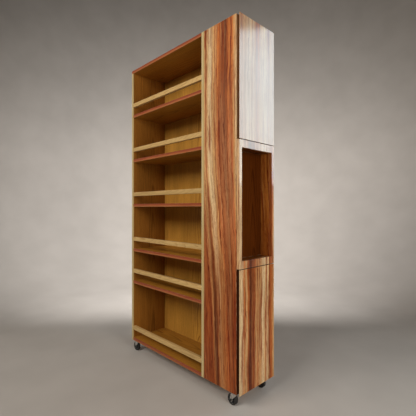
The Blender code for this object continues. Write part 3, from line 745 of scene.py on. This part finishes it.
def add_turned(form, profile, steps, place=ALONG_Z, closed=False):
    """(radius, height) points turned about an axis. A radius of 0 closes an end."""
    rings = []
    for radius, height in profile:
        if radius == 0:
            rings.append([form.verts.new(place @ Vector((0, 0, height)))] * steps)
            continue
        ring = []
        for i in range(steps):
            angle = 2 * math.pi * (i + 0.5) / steps
            x, y = radius * math.cos(angle), radius * math.sin(angle)
            ring.append(form.verts.new(place @ Vector((x, y, height))))
        rings.append(ring)
    pairs = list(zip(rings, rings[1:]))
    if closed:
        pairs.append((rings[-1], rings[0]))
    for upper, lower in pairs:
        for i in range(steps):
            form.faces.new(dict.fromkeys((upper[i - 1], upper[i], lower[i], lower[i - 1])))


def rod(radius, low, high):
    """The (radius, height) points of a plain rod."""
    return [(0, high), (radius, high), (radius, low), (0, low)]


def mirrored(profile):
    """The (radius, height) points that carry a profile on below height 0, as it is above it."""
    return [(radius, -height) for radius, height in reversed(profile)]


def arc(middle, radius, start, end, turns=6):
    """(radius, height) points along an arc about middle, from one angle to another in degrees."""
    points = []
    for step in range(turns + 1):
        angle = math.radians(start + (end - start) * step / turns)
        points.append((middle[0] + radius * math.cos(angle), middle[1] + radius * math.sin(angle)))
    return points


def filled(draw, *values, **settings):
    """A new form that the function draw has drawn into."""
    form = bmesh.new()
    draw(form, *values, **settings)
    return form


def spare_object(form):
    """An object to build with, which the function that asks for it removes."""
    bmesh.ops.recalc_face_normals(form, faces=form.faces)
    mesh = bpy.data.meshes.new("spare")
    form.to_mesh(mesh)
    form.free()
    item = bpy.data.objects.new("spare", mesh)
    SCENE.collection.objects.link(item)
    return item


def shaped(form, *tools, rounding=0.0, angle=40):
    """The mesh of form after each (operation, form) Boolean, with its sharp edges rounded."""
    base = spare_object(form)
    spares = [base]
    for operation, tool in tools:
        modifier = base.modifiers.new(operation, "BOOLEAN")
        modifier.operation = operation
        modifier.solver = "EXACT"
        modifier.object = spare_object(tool)
        spares.append(modifier.object)
    if rounding:
        add_rounding(base, rounding, angle)
    bpy.context.view_layer.update()
    graph = bpy.context.evaluated_depsgraph_get()
    mesh = bpy.data.meshes.new_from_object(base.evaluated_get(graph))
    for item in spares:
        bpy.data.objects.remove(item, do_unlink=True)
    mesh.materials.clear()
    mesh.shade_smooth()
    mesh.set_sharp_from_angle(angle=SHARP_ANGLE)
    return mesh


def put(name, mesh, material, place, body, slot, *nodes):
    """One finished piece: a copy of mesh at place, on its body, standing for nodes. slot is not used."""
    piece = bpy.data.objects.new(name, mesh.copy())
    piece.data.name = name
    piece.data.materials.append(material)
    piece.location = place
    SCENE.collection.objects.link(piece)
    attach(piece, body)
    if nodes:
        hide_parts(*nodes)


def cross_recess(place, arm=0.0017, width=0.0008, depth=0.0012):
    """The cutter for a screw's cross recess, down the local Z axis from height 0."""
    half = width / 2
    cross = [(arm, half), (half, half), (half, arm), (-half, arm), (-half, half), (-arm, half)]
    cross += [(-x, -y) for x, y in cross]
    return filled(add_outline, cross, -depth, 0.001, place)


# Metal, rubber and plastic ---------------------------------------------------------------------


def worn_share(look, here, grain):
    """Where a raised edge has been rubbed, broken up by noise."""
    raised = look.fit(look.node("NewGeometry").outputs["Pointiness"], 0.51, 0.58)
    return look.times(raised, look.fit(look.noise(here, grain, 3.0), 0.35, 0.65))


def metal(name, dull, bright, roughness, brushed=(1, 1, 1)):
    """Plated or plain steel: mottled, faintly brushed, and brighter along its edges."""
    look = Look(name)
    here = look.coordinates()
    mottle = look.noise(here, 260.0, 4.0)
    stain = look.noise(here, 55.0, 3.0)
    brush = look.noise(look.stretch(here, brushed), 900.0, 2.0)
    cloudy = look.add(look.times(mottle, 0.6), look.times(stain, 0.4))
    colour = look.ramp(cloudy, [(0.36, dull), (0.64, bright)])
    rubbed = worn_share(look, here, 700.0)
    look.set("Base Color", look.mix(look.times(rubbed, 0.6), colour, bright))
    look.set("Metallic", 1.0)
    gloss = look.add(look.vary(stain, -0.07, 0.09), look.vary(brush, -0.05, 0.05))
    look.set("Roughness", look.add(gloss, roughness))
    look.bump(look.add(look.times(brush, 0.6), look.times(mottle, 0.4)), 0.00004)
    return look.material


def rubber():
    """Black rubber, greyer where dust lies and where it is rubbed."""
    look = Look("tyre_rubber")
    here = look.coordinates()
    dust = look.noise(here, 120.0, 4.0)
    grit = look.noise(here, 1500.0, 2.0)
    colour = look.ramp(dust, [(0.35, srgb(22, 22, 23)), (0.75, srgb(52, 49, 46))])
    rubbed = worn_share(look, here, 400.0)
    look.set("Base Color", look.mix(look.times(rubbed, 0.5), colour, srgb(70, 66, 62)))
    look.set("Roughness", look.vary(dust, 0.55, 0.80))
    look.bump(look.add(look.times(grit, 0.6), look.times(dust, 0.4)), 0.00010)
    return look.material


def plastic(name, low, high):
    """A moulded plastic, clouded from one colour to the other, and high along its rubbed edges."""
    look = Look(name)
    here = look.coordinates()
    cloud = look.noise(here, 90.0, 3.0)
    grain = look.noise(here, 2200.0, 2.0)
    colour = look.ramp(cloud, [(0.35, low), (0.65, high)])
    rubbed = worn_share(look, here, 500.0)
    look.set("Base Color", look.mix(look.times(rubbed, 0.4), colour, high))
    look.set("Roughness", look.vary(cloud, 0.42, 0.56))
    look.bump(grain, 0.00003)
    return look.material


# Hinges, catches and screws --------------------------------------------------------------------

LEAF_NEAR, LEAF_FAR = 0.0004, 0.0022  # a leaf's two faces in X, on its side of the pin's axis
LEAF_INNER, LEAF_OUTER = -0.0215, -0.0044  # a leaf's edges in Y, from the pin's axis
HINGE_HALF = 0.030  # half the height of a leaf
KNUCKLE = 0.0197  # the height of a knuckle
KNUCKLE_PITCH = 0.020
KNUCKLE_RADIUS = 0.00385
PIN_RADIUS = 0.0015
LEAF_SCREW_Y = -0.0130
LEAF_SCREW_HEAD = 0.0033  # a radius
LEAF_SCREW_ROWS = (("lower", -0.018), ("upper", 0.018))


def leaf_mesh(side, heights):
    """A hinge leaf about its pin's axis, on the side -1 of the case or 1 of the door.

    heights are the middles of its knuckles.
    """
    across = Matrix.Diagonal((side, 1, 1, 1)) @ OUTLINE_YZ
    corner = 0.0008
    plate = [
        (LEAF_INNER, -HINGE_HALF, corner),
        (LEAF_OUTER, -HINGE_HALF, 0.0002),
        (LEAF_OUTER, HINGE_HALF, 0.0002),
        (LEAF_INNER, HINGE_HALF, corner),
    ]
    form = filled(add_outline, rounded_outline(plate, 3), LEAF_NEAR, LEAF_FAR, across)
    tools = []
    for height in heights:
        low, high = height - KNUCKLE / 2, height + KNUCKLE / 2
        root = LEAF_OUTER - 0.001
        tab = [(root, low), (-PIN_RADIUS, low), (-PIN_RADIUS, high), (root, high)]
        tools.append(("UNION", filled(add_outline, tab, LEAF_NEAR, LEAF_FAR, across)))
        ease = 0.0003
        barrel = [
            (0, high),
            (KNUCKLE_RADIUS - ease, high),
            (KNUCKLE_RADIUS, high - ease),
            (KNUCKLE_RADIUS, low + ease),
            (KNUCKLE_RADIUS - ease, low),
            (0, low),
        ]
        tools.append(("UNION", filled(add_turned, barrel, 40)))
    run = HINGE_HALF + 0.01
    tools.append(("DIFFERENCE", filled(add_turned, rod(PIN_RADIUS + 0.0001, -run, run), 24)))
    wide, narrow, deep = LEAF_SCREW_HEAD + 0.0005, 0.0017, side * (LEAF_FAR + 0.001)
    sink = [(0, 0), (wide, 0), (narrow, deep), (0, deep)]
    for _, height in LEAF_SCREW_ROWS:
        place = Matrix.Translation((0, LEAF_SCREW_Y, height)) @ ALONG_X
        tools.append(("DIFFERENCE", filled(add_turned, sink, 24, place)))
    return shaped(form, *tools)


def pin_mesh():
    """A hinge pin with a domed tip at each end."""
    half = HINGE_HALF + 0.0003
    tip = [(0, half + 0.0014), (0.0014, half + 0.0013), (0.0022, half + 0.0010)]
    tip += [(0.0026, half + 0.0004), (0.0025, half)]
    half_pin = [*tip, (PIN_RADIUS, half)]
    return shaped(filled(add_turned, half_pin + mirrored(half_pin), 24))


def leaf_screw_mesh(side):
    """A countersunk screw that lies along X, with its head at the gap between the leaves."""
    top = side * (LEAF_NEAR + 0.0001)
    place = ALONG_X if side < 0 else ALONG_X @ UPSIDE_DOWN
    place = Matrix.Translation((top, 0, 0)) @ place
    screw = [(0, 0), (LEAF_SCREW_HEAD, 0), (LEAF_SCREW_HEAD, -0.0002)]
    screw += [(0.0015, -0.0019), (0.0014, -0.0105), (0, -0.0130)]
    return shaped(filled(add_turned, screw, 24, place), ("DIFFERENCE", cross_recess(place)))


def make_hinges():
    """Two hinges to a door, each with two leaves, a pin and four screws."""
    steel = metal("hinge_steel", srgb(150, 150, 150), srgb(205, 204, 200), 0.30, brushed=(1, 1, 0.06))
    case_leaf = leaf_mesh(-1, (-KNUCKLE_PITCH, KNUCKLE_PITCH))
    door_leaf, pin = leaf_mesh(1, (0,)), pin_mesh()
    case_screw, door_screw = leaf_screw_mesh(-1), leaf_screw_mesh(1)
    for door in DOORS:
        for end in ("bottom", "top"):
            hinge = f"{door}_{end}_hinge"
            low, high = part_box(f"{hinge}_pin")
            axis = (low + high) / 2
            parts = (("case_leaf", case_leaf, "case"), ("door_leaf", door_leaf, door), ("pin", pin, "case"))
            for part, mesh, body in parts:
                node = f"{hinge}_{part}"
                put(f"{node}_steel", mesh, steel, axis, body, "hinge_steel", node)
            for row, height in LEAF_SCREW_ROWS:
                seat = axis + Vector((0, LEAF_SCREW_Y, height))
                put(f"{hinge}_case_{row}_screw", case_screw, steel, seat, "case", "hinge_steel")
                put(f"{hinge}_door_{row}_screw", door_screw, steel, seat, door, "hinge_steel")


def make_catches():
    """Magnets in plastic sleeves, and the steel discs on the doors that they hold."""
    sleeve_plastic = plastic("catch_plastic", srgb(118, 88, 58), srgb(142, 108, 74))
    steel = metal("catch_steel", srgb(168, 168, 170), srgb(214, 214, 214), 0.24)
    out, wall, depth, rim = 0.0048, 0.0012, 0.0118, 0.0004
    sleeve = [(out - rim, 0), (out, -rim), (out, -depth), (out - wall, -depth), (out - wall, 0)]
    core, core_end = out - wall - 0.0002, -0.0110
    magnet = [(0, -0.0004), (core - 0.0003, -0.0004), (core, -0.0007), (core, core_end), (0, core_end)]
    radius, thickness, rim_thickness = 0.006, 0.0010, 0.0006
    disc = [(0, rim_thickness), (0.0026, rim_thickness), (0.0032, thickness), (radius - 0.0005, thickness)]
    disc += [(radius, rim_thickness), (radius, 0), (0, 0)]
    facing_case = ALONG_X @ UPSIDE_DOWN
    sleeve_mesh = shaped(filled(add_turned, sleeve, 32, ALONG_X, closed=True))
    magnet_mesh = shaped(filled(add_turned, magnet, 32, ALONG_X))
    recess = cross_recess(Matrix.Translation((-0.0006, 0, 0)) @ facing_case, 0.0013, 0.0006, 0.0004)
    disc_mesh = shaped(filled(add_turned, disc, 40, facing_case), ("DIFFERENCE", recess))
    for door in DOORS:
        node = f"{door}_magnetic_catch"
        low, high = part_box(node)
        front = Vector((high.x, (low.y + high.y) / 2, (low.z + high.z) / 2))
        put(f"{node}_sleeve", sleeve_mesh, sleeve_plastic, front, "case", "catch_plastic", node)
        put(f"{node}_magnet", magnet_mesh, steel, front, "case", "hinge_steel")
        on_door = Vector((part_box(door)[0].x, front.y, front.z))
        put(f"{door}_strike_disc", disc_mesh, steel, on_door, door, "hinge_steel")


# Casters ---------------------------------------------------------------------------------------

# Heights are from the case's bottom, and places are from the swivel's axis.

TRAIL = 0.022  # to the axle
AXLE_Z = -0.048
PLATE_HALF = 0.025
PLATE_TOP, PLATE_UNDER = -0.0003, -0.0028
PLATE_SCREWS = (
    ("front_left", -0.018, -0.018),
    ("back_left", -0.018, 0.018),
    ("front_right", 0.018, -0.018),
    ("back_right", 0.018, 0.018),
)
FORK_TOP, FORK_UNDER = -0.0100, -0.0122  # the two faces of the fork's crown
LEG_IN, LEG_OUT = 0.0125, 0.0147  # the two faces of a leg
WHEEL_RADIUS = 0.030
TYRE_HALF = 0.0095  # half the tyre's width
AXLE_RADIUS = 0.003


def plate_mesh():
    """The top plate with its pressed race and the rivet that the fork turns on."""
    half = PLATE_HALF
    square = [(-half, -half, 0.005), (half, -half, 0.005), (half, half, 0.005), (-half, half, 0.005)]
    form = filled(add_outline, rounded_outline(square), PLATE_UNDER, PLATE_TOP)
    race = [(0, -0.0015), (0.0165, -0.0015), (0.0165, -0.0030), *arc((0.0165, -0.0040), 0.0010, 90, 180, 4)]
    race += [*arc((0.0142, -0.0082), 0.0013, 0, -90, 4), (0, -0.0095)]
    head = [(0, -0.0060), (0.0039, -0.0060), (0.0039, -0.0126), (0.0074, -0.0126), (0.0074, -0.0136)]
    head += [(0.0064, -0.0150), (0.0045, -0.0157), (0, -0.0159)]
    tools = [("UNION", filled(add_turned, race, 48)), ("UNION", filled(add_turned, head, 32))]
    for _, x, y in PLATE_SCREWS:
        hole = filled(add_turned, rod(0.0021, -0.004, 0.002), 20, Matrix.Translation((x, y, 0)))
        tools.append(("DIFFERENCE", hole))
    return shaped(form, *tools, rounding=0.0003)


def plate_screw_mesh():
    """A pan-head screw that points up, with its head under the plate."""
    under = -0.0050
    body = [(0, 0.0095), (0.0015, 0.0070), (0.0016, PLATE_UNDER), (0.0039, PLATE_UNDER), (0.0040, -0.0034)]
    body += [(0.0036, -0.0044), (0.0026, under), (0, under)]
    place = Matrix.Translation((0, 0, under)) @ UPSIDE_DOWN
    return shaped(filled(add_turned, body, 32), ("DIFFERENCE", cross_recess(place, 0.0018, 0.0008, 0.0014)))


def fork_mesh():
    """The pressed fork: a bent channel cut to its side outline, under a dished swivel cup."""
    low = AXLE_Z - 0.0086
    channel = [
        (-LEG_OUT, low, 0.0001),
        (-LEG_OUT, FORK_TOP, 0.0030),
        (LEG_OUT, FORK_TOP, 0.0030),
        (LEG_OUT, low, 0.0001),
        (LEG_IN, low, 0.0001),
        (LEG_IN, FORK_UNDER, 0.0008),
        (-LEG_IN, FORK_UNDER, 0.0008),
        (-LEG_IN, low, 0.0001),
    ]
    form = filled(add_outline, rounded_outline(channel), -0.032, 0.0125, OUTLINE_YZ)
    side = [
        (0.0125, FORK_TOP + 0.001, 0.0002),
        (0.0125, FORK_TOP - 0.0060, 0.0030),
        (-TRAIL + 0.0085, AXLE_Z + 0.0070, 0.0040),
        (-TRAIL + 0.0085, AXLE_Z - 0.0084, 0.0080),
        (-TRAIL - 0.0085, AXLE_Z - 0.0084, 0.0080),
        (-TRAIL - 0.0085, AXLE_Z + 0.0120, 0.0060),
        (-0.0205, FORK_TOP + 0.001, 0.0002),
    ]
    tools = [("INTERSECT", filled(add_outline, rounded_outline(side, 8), -0.02, 0.02, OUTLINE_XZ))]
    cup = [*arc((0.0177, -0.0050), 0.0011, 0, 180, 6), (0.0166, -0.0096), (0.0162, FORK_TOP)]
    cup += [(0.0040, FORK_TOP), (0.0040, FORK_UNDER), (0.0170, FORK_UNDER)]
    cup += arc((0.0170, -0.0104), 0.0018, -90, 0, 4)
    tools.append(("UNION", filled(add_turned, cup, 48, closed=True)))
    tools.append(("DIFFERENCE", filled(add_turned, rod(0.0042, -0.014, 0.01), 24)))
    at_axle = Matrix.Translation((-TRAIL, 0, AXLE_Z)) @ ALONG_Y
    axle_hole = filled(add_turned, rod(AXLE_RADIUS + 0.0002, -0.02, 0.02), 24, at_axle)
    tools.append(("DIFFERENCE", axle_hole))
    return shaped(form, *tools, rounding=0.00025, angle=50)


def hexagon(radius):
    """The corners of a hexagon, each at radius from its middle."""
    return [(radius * math.cos(math.pi * i / 3), radius * math.sin(math.pi * i / 3)) for i in range(6)]


def hex_head(outer, thickness, radius, place):
    """A chamfered hexagon that lies between heights outer - thickness and outer."""
    low = outer - thickness
    wide = radius * 1.02
    dome = [(0, outer), (radius * 0.84, outer), (wide, outer - 0.0007), (wide, low), (0, low)]
    form = filled(add_outline, hexagon(radius), low, outer, place)
    return shaped(form, ("INTERSECT", filled(add_turned, dome, 48, place)))


def axle_meshes():
    """The axle bolt with its head towards the open side, and the nut on its other end."""
    seat = LEG_OUT + 0.0003
    hexagon_radius, head_height, nut_height = 0.0056, 0.0034, 0.0029
    head = bmesh.new()
    head.from_mesh(hex_head(seat + head_height, head_height, hexagon_radius, AGAINST_Y))
    root, tip = seat + 0.0010, -seat - 0.0035
    shank = [(0, root), (AXLE_RADIUS, root), (AXLE_RADIUS, tip + 0.0004)]
    shank += [(AXLE_RADIUS - 0.0005, tip), (0, tip)]
    bolt = shaped(head, ("UNION", filled(add_turned, shank, 28, AGAINST_Y)))
    nut = bmesh.new()
    nut.from_mesh(hex_head(seat + nut_height, nut_height, hexagon_radius, ALONG_Y))
    hole = filled(add_turned, rod(AXLE_RADIUS + 0.00005, 0.01, 0.03), 28, ALONG_Y)
    return bolt, shaped(nut, ("DIFFERENCE", hole))


def hub_mesh():
    """The moulded hub: a sleeve, a web with ribs on both sides, and the rim inside the tyre."""
    sleeve, web, rim_half, rim_in, rim_out, bore = 0.0116, 0.0022, 0.0080, 0.0172, 0.0204, 0.0032
    half = [(bore, sleeve), (0.0064, sleeve), (0.0070, sleeve - 0.0006), (0.0074, web)]
    half += [(rim_in - 0.0004, web), (rim_in, web + 0.0010)]
    half += [(rim_in + 0.0004, rim_half - 0.0004), (rim_in + 0.0008, rim_half)]
    half += [(rim_out - 0.0006, rim_half), (rim_out, rim_half - 0.0006)]
    ribs = bmesh.new()
    for i in range(6):
        turn = ALONG_Y @ Matrix.Rotation(math.pi * i / 3, 4, "Z")
        rib = [(0.0060, -0.0008), (0.0180, -0.0008), (0.0180, 0.0008), (0.0060, 0.0008)]
        add_outline(ribs, rib, -0.0060, 0.0060, turn)
    form = filled(add_turned, half + mirrored(half), 60, ALONG_Y, closed=True)
    return shaped(form, ("UNION", ribs), rounding=0.0002)


def tyre_mesh():
    """The tyre: round shoulders, a nearly flat tread with a mould line, and a groove in each side."""
    bore, shoulder, groove = 0.0206, 0.0032, 0.0091
    half = [(bore, 0.0086), (bore + 0.0009, TYRE_HALF)]
    half += [(0.0236, TYRE_HALF), (0.0240, groove), (0.0246, groove), (0.0250, TYRE_HALF)]
    half += arc((WHEEL_RADIUS - shoulder - 0.0002, TYRE_HALF - shoulder), shoulder, 90, 8, 8)
    half += [(WHEEL_RADIUS - 0.00012, 0.0030), (WHEEL_RADIUS - 0.00010, 0.0004), (WHEEL_RADIUS, 0.0002)]
    return shaped(filled(add_turned, half + mirrored(half), 96, ALONG_Y, closed=True))


def make_casters():
    """Four casters, each with its plate, screws, fork, axle, hub and tyre."""
    zinc = metal("caster_zinc", srgb(172, 173, 172), srgb(226, 226, 222), 0.26, brushed=(1, 1, 0.3))
    dark = metal("axle_steel", srgb(44, 43, 42), srgb(86, 84, 80), 0.36)
    black, moulded = rubber(), plastic("hub_plastic", srgb(38, 38, 40), srgb(56, 56, 58))
    plate, screw, fork, hub, tyre = plate_mesh(), plate_screw_mesh(), fork_mesh(), hub_mesh(), tyre_mesh()
    bolt, nut = axle_meshes()
    for corner in CORNERS:
        name = f"{corner}_caster"
        low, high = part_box(f"{name}_plate")
        pivot = Vector(((low.x + high.x) / 2, (low.y + high.y) / 2, CASE_BOTTOM))
        axle = pivot + Vector((-TRAIL, 0, AXLE_Z))
        put(f"{name}_plate_steel", plate, zinc, pivot, "case", "zinc_plate", f"{name}_plate")
        put(f"{name}_fork_steel", fork, zinc, pivot, f"{corner}_fork", "zinc_plate", f"{name}_fork")
        put(f"{name}_axle_bolt", bolt, dark, axle, f"{corner}_fork", "dark_steel", f"{name}_axle")
        put(f"{name}_axle_nut", nut, dark, axle, f"{corner}_fork", "dark_steel")
        put(f"{name}_hub_moulding", hub, moulded, axle, f"{corner}_wheel", "grey_plastic", f"{name}_hub")
        put(f"{name}_tyre_rubber", tyre, black, axle, f"{corner}_wheel", "black_rubber", f"{name}_tyre")
        for side, x, y in PLATE_SCREWS:
            seat = pivot + Vector((x, y, 0))
            put(f"{name}_{side}_screw", screw, zinc, seat, "case", "zinc_plate")


SCENE.view_settings.view_transform = "Standard"
make_camera()
make_lights()
make_stage()
dress_boards()
make_hinges()
make_catches()
make_casters()
